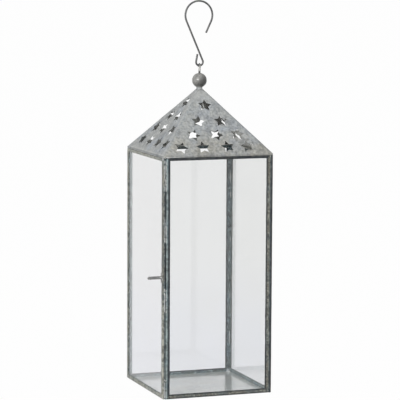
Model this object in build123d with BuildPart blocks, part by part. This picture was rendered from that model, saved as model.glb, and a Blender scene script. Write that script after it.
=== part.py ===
from build123d import *
from math import acos, asin, atan2, cos, degrees, hypot, pi, radians, sin, sqrt
import os

os.makedirs("parts", exist_ok=True)

# Body, over the outside of the panes
body_width = 110.0
body_depth = 110.0
pane_height = 229.4

# Glass panes in their folded came strips
glass_thickness = 1.6
glass_slack = 0.1
glass_edge_slack = 0.3
came_tin = 0.4
came_edge_radius = 0.5
upright_face = 4.0
front_right_face = 3.2
hinge_side_face = 2.6
bottom_face = 4.0
top_face = 2.8

# Door and floor
door_gap = 0.4
base_tin = 0.6

# Roof
roof_tin = 0.3
roof_overhang = 0.4
skirt_height = 1.4
roof_rise = 58.2
roof_top_width = 7.2
hip_radius = 2.0
roof_top_corner_radius = 1.6

# Punched stars
star_points = 5
star_radius = 7.0
star_notch_radius = 3.7

# Finial
collar_height = 2.6
collar_waist_radius = 2.7
collar_rim_radius = 3.2
ball_radius = 7.1
seat_gap = 0.05

# Hanging eye, a split pin
eye_wire = 1.4
eye_loop_radius = 1.9
eye_reach = 8.7
eye_leg_gap = 0.1
eye_bore_slack = 0.1
eye_leg_length = 22.0
eye_leg_drop = 2.5
eye_leg_bend_radius = 2.5
eye_flare_bend_radius = 5.0

# S-hook
hook_wire = 1.8
hook_play = 0.25
hook_big_radius = 13.7
hook_small_radius = 3.5
hook_span = 44.8
hook_sideways = -0.8
hook_tip_length = 12.2
hook_tip_lean = 25.0
hook_tail_length = 7.2
hook_tail_lean = 10.5

# Door pull, a hairpin of wire
pull_wire = 1.4
pull_height = 116.6
pull_reach = 14.7
pull_bend_radius = 0.75
pull_root_radius = 1.8
pull_foot = 4.8
pull_solder_gap = 0.02

# Door hinges
hinge_inset = 40.0
knuckle_radius = 1.3
knuckle_height = 5.0
knuckle_gap = 0.25
leaf_tin = 0.6
leaf_margin = 0.3
hinge_clearance = 0.3
pin_radius = 0.6
pin_running_gap = 0.05
pin_head_radius = 1.1
pin_head_height = 0.6
pin_end_play = 0.1

# Places that follow from the sizes
pane_thickness = glass_thickness + 2 * (glass_slack + came_tin)
channel_width = glass_thickness + 2 * glass_slack
inner_right = body_width / 2 - pane_thickness
inner_front = body_depth / 2 - pane_thickness
door_inside = -body_width / 2 + pane_thickness
fixed_left = door_inside + door_gap
eave_height = pane_height + skirt_height
roof_top = eave_height + roof_rise


# One came strip: its corner plane looks along the strip, with the glass on the plane's upper side
def make_came(node, corner, length, face, start_face, end_face):
    with BuildPart() as came:
        with BuildSketch(corner):
            with BuildLine():
                Polyline((0, 0), (length, 0), (length - end_face, face), (start_face, face), close=True)
            make_face()
        extrude(amount=pane_thickness)
        long_edges = came.edges().filter_by(Axis(corner.origin, corner.x_dir))
        outer_edges = long_edges.sort_by(Axis(corner.origin, corner.y_dir))[:2]
        fillet(outer_edges, radius=came_edge_radius)
        with BuildSketch(corner.offset(came_tin)):
            with Locations((length / 2, came_tin)):
                Rectangle(length, face, align=(Align.CENTER, Align.MIN))
        extrude(amount=channel_width, mode=Mode.SUBTRACT)
    came.part.label = node
    export_step(came.part, f"parts/{node}.step")


# One pane: its plane lies on the inner face, with the outside ahead and the origin at the lower left corner
def make_pane(name, pane, width, height, left_name, right_name, right_face):
    with BuildPart() as glass:
        with BuildSketch(pane.offset(came_tin + glass_slack)):
            with Locations((width / 2, came_tin)):
                Rectangle(
                    width - 2 * (came_tin + glass_edge_slack),
                    height - 2 * came_tin - glass_edge_slack,
                    align=(Align.CENTER, Align.MIN),
                )
        extrude(amount=glass_thickness)
    glass.part.label = f"{name}_glass"
    export_step(glass.part, f"parts/{name}_glass.step")

    across = pane.x_dir
    up = pane.y_dir
    strips = (
        ("bottom", (0, 0), across, width, bottom_face, upright_face, right_face),
        (right_name, (width, 0), up, height, right_face, bottom_face, top_face),
        ("top", (width, height), -across, width, top_face, right_face, upright_face),
        (left_name, (0, height), -up, height, upright_face, top_face, bottom_face),
    )
    for strip, start, direction, length, face, start_face, end_face in strips:
        corner = Plane(origin=pane.from_local_coords((*start, 0)), x_dir=direction, z_dir=pane.z_dir)
        make_came(f"{name}_came_{strip}", corner, length, face, start_face, end_face)


fixed_width = inner_right - fixed_left
make_pane(
    "front",
    Plane(origin=(fixed_left, -inner_front, 0), x_dir=(1, 0, 0), z_dir=(0, -1, 0)),
    fixed_width, pane_height, "left", "right", front_right_face,
)
make_pane(
    "right",
    Plane(origin=(inner_right, -body_depth / 2, 0), x_dir=(0, 1, 0), z_dir=(1, 0, 0)),
    body_depth, pane_height, "front", "back", upright_face,
)
make_pane(
    "back",
    Plane(origin=(inner_right, inner_front, 0), x_dir=(-1, 0, 0), z_dir=(0, 1, 0)),
    fixed_width, pane_height, "right", "left", hinge_side_face,
)
make_pane(
    "door",
    Plane(origin=(door_inside, body_depth / 2, door_gap), x_dir=(0, -1, 0), z_dir=(-1, 0, 0)),
    body_depth, pane_height - 2 * door_gap, "back", "front", upright_face,
)

# Floor sheet between the panes
with BuildPart() as base_plate:
    with BuildSketch(Plane.XY):
        with Locations(((fixed_left + inner_right) / 2, 0)):
            Rectangle(fixed_width, 2 * inner_front)
    extrude(amount=base_tin)
base_plate.part.label = "base_plate"
export_step(base_plate.part, "parts/base_plate.step")

# Roof, folded from one sheet: skirt, four slopes, turned-in hem
roof_width = body_width + 2 * roof_overhang
roof_depth = body_depth + 2 * roof_overhang
eye_bore_radius = eye_wire + eye_leg_gap / 2 + eye_bore_slack

# Each star: its place up the slope and along the half row there, as shares, and its turn
front_stars = (
    (0.76, -0.006, -7),
    (0.515, -0.389, -12), (0.515, 0.408, -2),
    (0.308, -0.494, -24), (0.308, 0.088, -25), (0.308, 0.620, -13),
    (0.124, -0.712, -23), (0.124, -0.268, 3), (0.124, 0.234, 7), (0.123, 0.638, 5),
)
right_stars = (
    (0.781, -0.024, 40),
    (0.551, -0.401, 15), (0.532, 0.508, 34),
    (0.374, -0.523, 5), (0.365, 0.03, 0), (0.393, 0.658, 2),
    (0.159, -0.63, 60), (0.139, -0.186, 0), (0.179, 0.309, 0), (0.159, 0.762, 15),
)
back_stars = (
    (0.806, 0.22, -18),
    (0.577, -0.387, 4), (0.571, 0.559, -12),
    (0.391, -0.428, -18), (0.365, 0.066, 8), (0.364, 0.612, 0),
    (0.168, -0.68, 38), (0.172, -0.201, -18), (0.172, 0.284, -17), (0.163, 0.701, 0),
)
door_stars = (
    (0.796, 0.09, 30),
    (0.576, -0.39, 50), (0.578, 0.39, 20),
    (0.371, -0.594, 20), (0.374, -0.02, 58), (0.377, 0.66, 40),
    (0.162, -0.645, 8), (0.165, -0.19, 33), (0.168, 0.314, 62), (0.17, 0.775, 25),
)


def star_outline():
    corners = []
    for step in range(2 * star_points):
        reach = star_notch_radius if step % 2 else star_radius
        angle = radians(90 + 180 * step / star_points)
        corners.append((reach * cos(angle), reach * sin(angle)))
    return corners


with BuildPart() as roof:
    with BuildSketch(Plane.XY.offset(pane_height)):
        RectangleRounded(roof_width, roof_depth, hip_radius)
    extrude(amount=skirt_height)
    with BuildSketch(Plane.XY.offset(eave_height)):
        RectangleRounded(roof_width, roof_depth, hip_radius)
    with BuildSketch(Plane.XY.offset(roof_top)):
        RectangleRounded(roof_top_width, roof_top_width, roof_top_corner_radius)
    loft(ruled=True)
    offset(amount=-roof_tin, openings=roof.faces().sort_by(Axis.Z)[0])
    with BuildSketch(Plane.XY.offset(pane_height)):
        RectangleRounded(roof_width, roof_depth, hip_radius)
        Rectangle(2 * inner_right, 2 * inner_front, mode=Mode.SUBTRACT)
    extrude(amount=roof_tin)
    slopes = (
        (front_stars, (0, -1, 0), roof_depth, roof_width),
        (right_stars, (1, 0, 0), roof_width, roof_depth),
        (back_stars, (0, 1, 0), roof_depth, roof_width),
        (door_stars, (-1, 0, 0), roof_width, roof_depth),
    )
    for stars, outward, across_width, eave_length in slopes:
        run = (across_width - roof_top_width) / 2
        slope_length = hypot(run, roof_rise)
        lean_out = roof_rise / slope_length
        lean_up = run / slope_length
        normal = Vector(outward) * lean_out + Vector(0, 0, lean_up)
        eave_middle = Vector(outward) * (across_width / 2) + Vector(0, 0, eave_height)
        slope = Plane(origin=eave_middle, x_dir=Vector(0, 0, 1).cross(Vector(outward)), z_dir=normal)
        with BuildSketch(slope):
            for share_up, share_across, turn in stars:
                half_row = (eave_length + share_up * (roof_top_width - eave_length)) / 2
                with Locations((share_across * half_row, share_up * slope_length)):
                    Polygon(*star_outline(), rotation=turn, align=None)
        extrude(amount=2 * roof_tin, both=True, mode=Mode.SUBTRACT)
    with Locations((0, 0, roof_top)):
        Hole(eye_bore_radius)
roof.part.label = "roof"
export_step(roof.part, "parts/roof.step")

# Finial collar, waisted between the roof's flat top and the ball
collar_rim = roof_top + collar_height
seat_radius = ball_radius + seat_gap
ball_height = collar_rim + sqrt(seat_radius**2 - collar_rim_radius**2)
collar_bore_rim = ball_height - sqrt(seat_radius**2 - eye_bore_radius**2)
seat_middle = (asin(collar_rim_radius / seat_radius) + asin(eye_bore_radius / seat_radius)) / 2

with BuildPart() as finial_collar:
    with BuildSketch(Plane.XZ):
        with BuildLine():
            foot = Line((eye_bore_radius, roof_top), (roof_top_width / 2, roof_top))
            waist = ThreePointArc(
                foot @ 1,
                (collar_waist_radius, roof_top + collar_height / 2),
                (collar_rim_radius, collar_rim),
            )
            seat = ThreePointArc(
                waist @ 1,
                (seat_radius * sin(seat_middle), ball_height - seat_radius * cos(seat_middle)),
                (eye_bore_radius, collar_bore_rim),
            )
            Line(seat @ 1, foot @ 0)
        make_face()
    revolve(axis=Axis.Z)
finial_collar.part.label = "finial_collar"
export_step(finial_collar.part, "parts/finial_collar.step")

# Finial ball, bored for the eye's legs
with BuildPart() as finial_ball:
    with Locations((0, 0, ball_height)):
        Sphere(ball_radius)
        Hole(eye_bore_radius)
finial_ball.part.label = "finial_ball"
export_step(finial_ball.part, "parts/finial_ball.step")

# Hanging eye: a loop above the ball, two legs down the bore, spread along the slopes inside the roof
eye_leg = eye_wire / 2 + eye_leg_gap / 2
eye_top = ball_height + ball_radius + eye_reach
eye_centre = eye_top - eye_loop_radius
flare_height = ball_height + ball_radius
leg_bend_height = roof_top - roof_tin - eye_leg_drop
leg_slope = atan2(roof_rise, (roof_depth - roof_top_width) / 2)
flare_drop = eye_centre - flare_height
flare_distance = hypot(eye_leg, flare_drop)
touch_angle = atan2(-flare_drop, eye_leg) + acos(eye_loop_radius / flare_distance)
touch = (eye_loop_radius * cos(touch_angle), eye_centre + eye_loop_radius * sin(touch_angle))
near_leg = [
    (
        eye_leg + eye_leg_length * cos(leg_slope),
        leg_bend_height - eye_leg_length * sin(leg_slope),
    ),
    (eye_leg, leg_bend_height),
    (eye_leg, flare_height),
    touch,
]
far_leg = [(-side, rise) for side, rise in reversed(near_leg)]

with BuildPart() as hanging_eye:
    with BuildLine(Plane.YZ):
        first = FilletPolyline(*near_leg, radius=[eye_leg_bend_radius, eye_flare_bend_radius])
        ThreePointArc(near_leg[-1], (0, eye_top), far_leg[0])
        FilletPolyline(*far_leg, radius=[eye_flare_bend_radius, eye_leg_bend_radius])
    with BuildSketch(Plane(origin=first @ 0, z_dir=first % 0)):
        Circle(eye_wire / 2)
    sweep()
hanging_eye.part.label = "hanging_eye"
export_step(hanging_eye.part, "parts/hanging_eye.step")

# S-hook: a small bend in the eye, a straight shank across to the big bend, two free ends
hook_pivot = eye_top - eye_wire / 2 - hook_play - hook_wire / 2 + hook_small_radius
small_centre = (0, hook_pivot)
big_centre = (hook_sideways, hook_pivot + hook_span)
centre_lean = atan2(-hook_sideways, hook_span)
shank_lean = centre_lean + asin((hook_big_radius + hook_small_radius) / hypot(hook_sideways, hook_span))


def around(centre, radius, angle):
    return (centre[0] + radius * cos(angle), centre[1] + radius * sin(angle))


def along(start, length, lean):
    return (start[0] + length * sin(lean), start[1] + length * cos(lean))


shank_top = around(big_centre, hook_big_radius, pi + shank_lean)
shank_bottom = around(small_centre, hook_small_radius, shank_lean)
tip_start = around(big_centre, hook_big_radius, -radians(hook_tip_lean))
tip_end = along(tip_start, -hook_tip_length, radians(hook_tip_lean))
tail_start = around(small_centre, hook_small_radius, pi - radians(hook_tail_lean))
tail_end = along(tail_start, hook_tail_length, radians(hook_tail_lean))

with BuildPart() as s_hook:
    with BuildLine(Plane.XZ):
        free_end = Line(tip_end, tip_start)
        ThreePointArc(tip_start, around(big_centre, hook_big_radius, pi / 2), shank_top)
        Line(shank_top, shank_bottom)
        ThreePointArc(shank_bottom, around(small_centre, hook_small_radius, -pi / 2), tail_start)
        Line(tail_start, tail_end)
    with BuildSketch(Plane(origin=free_end @ 0, z_dir=free_end % 0)):
        Circle(hook_wire / 2)
    sweep()
s_hook.part.label = "s_hook"
export_step(s_hook.part, "parts/s_hook.step")

# Door pull: a hairpin standing out from the door's front upright, its two ends bent up and down on it
pull_y = -body_depth / 2 + upright_face / 2
pull_seat = -body_width / 2 - pull_solder_gap - pull_wire / 2
pull_tip = -body_width / 2 - pull_reach + pull_wire / 2 + pull_bend_radius
pull_top = pull_height + pull_bend_radius
pull_bottom = pull_height - pull_bend_radius
upper_foot = [
    (pull_seat, pull_height + pull_foot),
    (pull_seat, pull_top),
    (pull_tip, pull_top),
]
lower_foot = [
    (pull_tip, pull_bottom),
    (pull_seat, pull_bottom),
    (pull_seat, pull_height - pull_foot),
]

with BuildPart() as door_pull:
    with BuildLine(Plane.XZ.offset(-pull_y)):
        upper = FilletPolyline(*upper_foot, radius=pull_root_radius)
        ThreePointArc(upper_foot[-1], (pull_tip - pull_bend_radius, pull_height), lower_foot[0])
        FilletPolyline(*lower_foot, radius=pull_root_radius)
    with BuildSketch(Plane(origin=upper @ 0, z_dir=upper % 0)):
        Circle(pull_wire / 2)
    sweep()
door_pull.part.label = "door_pull"
export_step(door_pull.part, "parts/door_pull.step")

# Door hinges behind the back left corner: a fixed leaf, a door leaf and a headed wire pin each
hinge_x = (door_inside + fixed_left) / 2
back_face = body_depth / 2
hinge_y = back_face + hinge_clearance + knuckle_radius
knuckle_pitch = knuckle_height + knuckle_gap
hinge_height = 2 * knuckle_pitch + knuckle_height
knuckle_room = knuckle_radius + hinge_clearance
fixed_reach = fixed_left + hinge_side_face - leaf_margin
door_reach = -body_width / 2 + leaf_margin
pin_bore_radius = pin_radius + pin_running_gap


def make_hinge(place, bottom):
    with BuildPart() as fixed_leaf:
        with BuildSketch(Plane.XY.offset(bottom), Plane.XY.offset(bottom + 2 * knuckle_pitch)):
            with Locations((hinge_x, hinge_y)):
                Circle(knuckle_radius)
            with Locations((hinge_x, back_face)):
                Rectangle(fixed_reach - hinge_x, leaf_tin, align=Align.MIN)
        extrude(amount=knuckle_height)
        with BuildSketch(Plane.XY.offset(bottom)):
            with Locations((hinge_x + knuckle_room, back_face)):
                Rectangle(fixed_reach - hinge_x - knuckle_room, leaf_tin, align=Align.MIN)
        extrude(amount=hinge_height)
        with Locations((hinge_x, hinge_y, bottom + hinge_height)):
            Hole(pin_bore_radius)
    fixed_leaf.part.label = f"hinge_{place}_fixed_leaf"
    export_step(fixed_leaf.part, f"parts/hinge_{place}_fixed_leaf.step")

    with BuildPart() as door_leaf:
        with BuildSketch(Plane.XY.offset(bottom + knuckle_pitch)):
            with Locations((hinge_x, hinge_y)):
                Circle(knuckle_radius)
            with Locations((hinge_x, back_face)):
                Rectangle(hinge_x - door_reach, leaf_tin, align=(Align.MAX, Align.MIN))
        extrude(amount=knuckle_height)
        with Locations((hinge_x, hinge_y, bottom + knuckle_pitch + knuckle_height)):
            Hole(pin_bore_radius)
    door_leaf.part.label = f"hinge_{place}_door_leaf"
    export_step(door_leaf.part, f"parts/hinge_{place}_door_leaf.step")

    pin_bottom = bottom - pin_end_play
    pin_top = bottom + hinge_height + pin_end_play
    with BuildPart() as pin:
        with BuildSketch(Plane.XY.offset(pin_bottom)):
            with Locations((hinge_x, hinge_y)):
                Circle(pin_radius)
        extrude(amount=pin_top - pin_bottom)
        with BuildSketch(Plane.XY.offset(pin_bottom - pin_head_height), Plane.XY.offset(pin_top)):
            with Locations((hinge_x, hinge_y)):
                Circle(pin_head_radius)
        extrude(amount=pin_head_height)
    pin.part.label = f"hinge_{place}_pin"
    export_step(pin.part, f"parts/hinge_{place}_pin.step")


make_hinge("lower", hinge_inset)
make_hinge("upper", pane_height - hinge_inset - hinge_height)

print(f"roof slope {degrees(leg_slope):.1f} degrees, top of the roof {roof_top:.1f} mm")
print(f"hook pivot at z {hook_pivot:.2f} mm, door hinge axis at x {hinge_x:.2f}, y {hinge_y:.2f} mm")
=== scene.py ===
# %% [markdown]
# # A punched tin lantern
# The lantern stands 375 mm tall with its hook: four glass panes in folded tin strips, a pyramid roof
# punched with stars, a ball finial, a wire eye and an S-hook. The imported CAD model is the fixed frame.

# %% Load the frame
import math
import random

import bpy
from mathutils import Matrix, Vector


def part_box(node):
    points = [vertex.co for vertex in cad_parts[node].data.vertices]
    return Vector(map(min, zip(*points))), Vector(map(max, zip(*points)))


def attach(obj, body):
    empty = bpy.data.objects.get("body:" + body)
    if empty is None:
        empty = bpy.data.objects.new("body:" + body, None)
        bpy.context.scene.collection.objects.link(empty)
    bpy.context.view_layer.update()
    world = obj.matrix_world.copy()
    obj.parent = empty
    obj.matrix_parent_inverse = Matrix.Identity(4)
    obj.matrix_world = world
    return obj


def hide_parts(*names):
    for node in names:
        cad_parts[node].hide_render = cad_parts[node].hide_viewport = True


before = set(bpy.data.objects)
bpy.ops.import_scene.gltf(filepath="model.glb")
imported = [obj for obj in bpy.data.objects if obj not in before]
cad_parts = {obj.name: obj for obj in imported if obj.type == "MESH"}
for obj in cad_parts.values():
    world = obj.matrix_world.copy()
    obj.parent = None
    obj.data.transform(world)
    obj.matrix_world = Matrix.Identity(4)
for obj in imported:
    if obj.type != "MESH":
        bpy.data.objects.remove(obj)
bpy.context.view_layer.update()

# %% [markdown]
# ## Camera
# The picture was taken from the front, a little to the left and a little above, with a long lens, so the
# uprights stay almost parallel. The distance and the lens are set together: a nearer camera with a
# shorter lens would give the same size but a steeper roof and a deeper floor.

# %% Place the camera
camera_place = Vector((-0.70788, -1.98094, 0.43217))
heading = 0.34376
dip = 0.11836
tilt = 0.00516
forward = Vector((math.cos(dip) * math.sin(heading), math.cos(dip) * math.cos(heading), -math.sin(dip)))
level_right = Vector((math.cos(heading), -math.sin(heading), 0.0))
level_up = level_right.cross(forward)
right = level_right * math.cos(tilt) + level_up * math.sin(tilt)
up = right.cross(forward)
camera_data = bpy.data.cameras.new("camera")
camera_data.sensor_width = 36.0
camera_data.lens = 197.105
camera = bpy.data.objects.new("camera", camera_data)
turn = Matrix((right, up, -forward)).transposed().to_4x4()
camera.matrix_world = Matrix.Translation(camera_place) @ turn
bpy.context.scene.collection.objects.link(camera)
bpy.context.scene.camera = camera
print("camera at", [round(v, 3) for v in camera_place])

# %% [markdown]
# ## Helpers for modelling by hand
# Each new piece starts as a primitive and is shaped with edit mode operators, as it would be with a
# mouse. A script has no mouse, so faces, edges and vertices are selected by where they are. Modifiers are
# applied at once, so that a finished piece is a plain mesh at the origin.


# %% Start a piece
def only(piece):
    bpy.ops.object.select_all(action="DESELECT")
    piece.select_set(True)
    bpy.context.view_layer.objects.active = piece


def start_with(add_primitive, name, **settings):
    bpy.ops.object.select_all(action="DESELECT")
    add_primitive(**settings)
    piece = bpy.context.object
    piece.name = name
    bpy.ops.object.transform_apply(location=True, rotation=True, scale=True)
    return piece


def block(name, low, high):
    middle = (Vector(low) + Vector(high)) / 2
    size = Vector(high) - Vector(low)
    return start_with(bpy.ops.mesh.primitive_cube_add, name, size=1, location=middle, scale=size)


def join(pieces):
    only(pieces[0])
    for piece in pieces:
        piece.select_set(True)
    bpy.ops.object.join()
    return bpy.context.object


print("pieces start from primitives")


# %% Select parts of a piece
def choose(piece, kind, wanted):
    bpy.ops.object.mode_set(mode="EDIT")
    bpy.ops.mesh.select_mode(type=kind)
    bpy.ops.mesh.select_all(action="DESELECT")
    bpy.ops.object.mode_set(mode="OBJECT")
    mesh = piece.data
    if kind == "VERT":
        for vertex in mesh.vertices:
            vertex.select = bool(wanted(vertex.co))
    elif kind == "EDGE":
        for edge in mesh.edges:
            first, second = (mesh.vertices[i].co for i in edge.vertices)
            edge.select = bool(wanted(first, second))
    else:
        for face in mesh.polygons:
            face.select = bool(wanted(face.center, face.normal))
    bpy.ops.object.mode_set(mode="EDIT")


print("vertices, edges and faces are chosen by place or normal")


# %% Apply modifiers and smooth a piece
def apply_modifier(piece, kind, **settings):
    only(piece)
    modifier = piece.modifiers.new(kind.lower(), kind)
    for name, value in settings.items():
        setattr(modifier, name, value)
    bpy.ops.object.modifier_apply(modifier=modifier.name)


def cut_out(piece, cutter):
    apply_modifier(piece, "BOOLEAN", operation="DIFFERENCE", solver="EXACT", object=cutter)
    bpy.data.objects.remove(cutter)


def smooth(piece, angle):
    only(piece)
    bpy.ops.object.shade_smooth_by_angle(angle=math.radians(angle))


def tidy_mesh(piece, angle):
    only(piece)
    bpy.ops.object.mode_set(mode="EDIT")
    bpy.ops.mesh.select_all(action="SELECT")
    bpy.ops.mesh.remove_doubles(threshold=1e-6)
    bpy.ops.mesh.normals_make_consistent(inside=False)
    bpy.ops.object.mode_set(mode="OBJECT")
    smooth(piece, angle)


print("modifiers are applied at once")


# %% Dents, and shares from place to place
def dents(name, size):
    texture = bpy.data.textures.new(name, "CLOUDS")
    texture.noise_scale = size
    texture.noise_depth = 2
    return texture


def within_one(share):
    return min(max(share, 0.0), 1.0)


def ease(value, low, high):
    share = within_one((value - low) / (high - low))
    return share * share * (3 - 2 * share)


def between(value, rise, fall):
    return ease(value, *rise) - ease(value, *fall)


def weigh(piece, name, share):
    group = piece.vertex_groups.new(name=name)
    for vertex in piece.data.vertices:
        group.add([vertex.index], within_one(share(vertex.co)), "REPLACE")


print("halfway up, a share has eased to", ease(0.5, 0.0, 1.0))

# %% [markdown]
# ## Shared finish: mottled tin
# Every sheet, strip and wire here is zinc-grey tin that has dulled in patches: warm grey and blue-grey
# areas a finger wide, paler bloom, and a fine grain. Each material could hold its own nodes for this, but
# one node group makes it once, and each material places it with its own colours and sizes. It reads
# Object coordinates, so neighbouring pieces carry on from each other.


# %% Add nodes that mix and calculate
def add_node(tree, kind, **values):
    node = tree.nodes.new(kind)
    for name, value in values.items():
        if name in node.inputs:
            node.inputs[name].default_value = value
        else:
            setattr(node, name, value)
    return node


def feed(tree, socket, value):
    if isinstance(value, bpy.types.NodeSocket):
        tree.links.new(value, socket)
    elif isinstance(value, (int, float)):
        socket.default_value = value
    else:
        socket.default_value = (*value, 1.0)


def mix_colours(tree, share, first, second, blend="MIX"):
    node = add_node(tree, "ShaderNodeMix", data_type="RGBA", blend_type=blend)
    for number, value in ((0, share), (6, first), (7, second)):
        feed(tree, node.inputs[number], value)
    return node.outputs[2]


def calculate(tree, operation, *values):
    node = add_node(tree, "ShaderNodeMath", operation=operation)
    for socket, value in zip(node.inputs, values):
        feed(tree, socket, value)
    return node.outputs[0]


print("nodes can mix and calculate")


# %% Add ramps, bands, noise and coordinates
def ramp_value(tree, value, low, high, start=0.0, end=1.0):
    limits = {"From Min": low, "From Max": high, "To Min": start, "To Max": end}
    node = add_node(tree, "ShaderNodeMapRange", interpolation_type="SMOOTHSTEP", **limits)
    tree.links.new(value, node.inputs["Value"])
    return node.outputs["Result"]


def band(tree, value, rise, fall, share=1.0):
    rising = ramp_value(tree, value, *rise)
    falling = ramp_value(tree, value, *fall, share, 0.0)
    return calculate(tree, "MULTIPLY", rising, falling)


def noise(tree, where, size, detail, roughness):
    node = add_node(tree, "ShaderNodeTexNoise", Detail=detail, Roughness=roughness)
    tree.links.new(where, node.inputs["Vector"])
    feed(tree, node.inputs["Scale"], size if isinstance(size, bpy.types.NodeSocket) else 1.0 / size)
    return node.outputs["Fac"]


def object_place(tree):
    return tree.nodes.new("ShaderNodeTexCoord").outputs["Object"]


def split_xyz(tree, place):
    node = tree.nodes.new("ShaderNodeSeparateXYZ")
    tree.links.new(place, node.inputs[0])
    return node.outputs


print("nodes can ramp and read Object coordinates")

# %% Build the mottle group
dull_range = (0.42, 0.66)
mottle = bpy.data.node_groups.new("mottled tin", "ShaderNodeTree")
sockets = (
    ("INPUT", "NodeSocketColor", ("Warm", "Cool", "Pale", "Dark")),
    ("INPUT", "NodeSocketFloat", ("Patches per metre", "Grains per metre", "Grain depth")),
    ("OUTPUT", "NodeSocketColor", ("Colour",)),
    ("OUTPUT", "NodeSocketFloat", ("Roughness", "Height")),
)
for way, kind, labels in sockets:
    for label in labels:
        mottle.interface.new_socket(label, in_out=way, socket_type=kind)
given = mottle.nodes.new("NodeGroupInput").outputs
result = mottle.nodes.new("NodeGroupOutput").inputs
place = object_place(mottle)
elsewhere = add_node(mottle, "ShaderNodeVectorMath", operation="ADD")
elsewhere.inputs[1].default_value = (3.1, 1.7, 5.3)
mottle.links.new(place, elsewhere.inputs[0])
patch_scale = given["Patches per metre"]
bloom_scale = calculate(mottle, "MULTIPLY", patch_scale, 2.7)
stain_scale = calculate(mottle, "MULTIPLY", patch_scale, 1.7)
patches = noise(mottle, place, patch_scale, 4.0, 0.6)
grain = noise(mottle, place, given["Grains per metre"], 3.0, 0.7)
bloom = noise(mottle, place, bloom_scale, 5.0, 0.65)
stain = noise(mottle, elsewhere.outputs[0], stain_scale, 5.0, 0.65)
body_colour = mix_colours(mottle, ramp_value(mottle, patches, 0.42, 0.60), given["Warm"], given["Cool"])
bloomed = mix_colours(mottle, ramp_value(mottle, bloom, 0.50, 0.72, 0.0, 0.8), body_colour, given["Pale"])
stained = mix_colours(mottle, ramp_value(mottle, stain, 0.52, 0.68, 0.0, 0.85), bloomed, given["Dark"])
grain_share = calculate(mottle, "SUBTRACT", grain, 0.5)
grain_light = calculate(mottle, "MULTIPLY_ADD", grain_share, given["Grain depth"], 1.0)
grey_grain = mottle.nodes.new("ShaderNodeCombineColor")
for channel in ("Red", "Green", "Blue"):
    mottle.links.new(grain_light, grey_grain.inputs[channel])
speckled = mix_colours(mottle, 1.0, stained, grey_grain.outputs[0], "MULTIPLY")
mottle.links.new(speckled, result["Colour"])
mottle.links.new(ramp_value(mottle, bloom, 0.35, 0.70, *dull_range), result["Roughness"])
mottle.links.new(calculate(mottle, "MULTIPLY_ADD", grain, 0.35, bloom), result["Height"])
print("group", mottle.name, "with", len(mottle.nodes), "nodes")


# %% [markdown]
# ## The finishes
# Roof tin is pale and matte. The strips round the glass are darker, with blue-black and greenish patches.
# Wire is darker still, the finial is pewter grey with a satin shine, the floor is bright and satin, and
# solder is pale and lumpy. Each is its own Principled material, so that the export can read it, and takes
# only its changing colour, roughness and height from the group.


# %% Say what a tin finish is
def tin_finish(name, warm, cool, pale, dark, patch, grain, grain_depth, metallic, bump, shine=None):
    material = bpy.data.materials.new(name)
    material.use_nodes = True
    tree = material.node_tree
    shader = tree.nodes["Principled BSDF"].inputs
    shader["Metallic"].default_value = metallic
    spots = tree.nodes.new("ShaderNodeGroup")
    spots.node_tree = mottle
    for label, colour in (("Warm", warm), ("Cool", cool), ("Pale", pale), ("Dark", dark)):
        spots.inputs[label].default_value = (*colour, 1.0)
    spots.inputs["Patches per metre"].default_value = 1.0 / patch
    spots.inputs["Grains per metre"].default_value = 1.0 / grain
    spots.inputs["Grain depth"].default_value = grain_depth
    roughness = spots.outputs["Roughness"]
    if shine:
        roughness = ramp_value(tree, roughness, *dull_range, *shine)
    relief = add_node(tree, "ShaderNodeBump", Distance=bump)
    tree.links.new(spots.outputs["Height"], relief.inputs["Height"])
    tree.links.new(spots.outputs["Colour"], shader["Base Color"])
    tree.links.new(roughness, shader["Roughness"])
    tree.links.new(relief.outputs["Normal"], shader["Normal"])
    return material


print("a tin finish has", len(mottle.interface.items_tree) - 3, "values for the group")

# %% Make the nine tin finishes
came_tin = tin_finish(
    "came tin", warm=(0.145, 0.143, 0.131), cool=(0.108, 0.131, 0.143), pale=(0.39, 0.41, 0.395),
    dark=(0.03, 0.034, 0.038), patch=0.014, grain=0.0015, grain_depth=2.8, metallic=0.40, bump=0.00028)
floor_tin = tin_finish(
    "floor tin", warm=(0.805, 0.80, 0.747), cool=(0.779, 0.80, 0.774), pale=(0.867, 0.873, 0.852),
    dark=(0.71, 0.716, 0.685), patch=0.022, grain=0.0022, grain_depth=0.45, metallic=0.34, bump=0.00003,
    shine=(0.12, 0.24))
finial_tin = tin_finish(
    "finial tin", warm=(0.225, 0.223, 0.21), cool=(0.20, 0.207, 0.208), pale=(0.285, 0.285, 0.275),
    dark=(0.137, 0.137, 0.137), patch=0.009, grain=0.0012, grain_depth=0.6, metallic=0.0, bump=0.00012,
    shine=(0.29, 0.38))
wire_tin = tin_finish(
    "wire tin", warm=(0.113, 0.113, 0.108), cool=(0.09, 0.094, 0.097), pale=(0.235, 0.235, 0.23),
    dark=(0.045, 0.045, 0.045), patch=0.007, grain=0.0008, grain_depth=0.6, metallic=0.45, bump=0.00012)
pull_wire = tin_finish(
    "pull wire", warm=(0.24, 0.24, 0.228), cool=(0.205, 0.21, 0.214), pale=(0.44, 0.44, 0.43),
    dark=(0.10, 0.10, 0.10), patch=0.006, grain=0.0010, grain_depth=0.8, metallic=0.45, bump=0.00012)
# The eye's wire is coloured pale as a painted highlight.
painted_highlight_wire = tin_finish(
    "painted highlight wire", warm=(0.45, 0.45, 0.425), cool=(0.40, 0.41, 0.40), pale=(0.54, 0.54, 0.52),
    dark=(0.31, 0.31, 0.30), patch=0.006, grain=0.0012, grain_depth=0.2, metallic=0.40, bump=0.00004)
solder_tin = tin_finish(
    "solder tin", warm=(0.46, 0.465, 0.45), cool=(0.38, 0.40, 0.41), pale=(0.68, 0.69, 0.68),
    dark=(0.13, 0.14, 0.145), patch=0.005, grain=0.0009, grain_depth=0.8, metallic=0.45, bump=0.00025)
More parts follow.
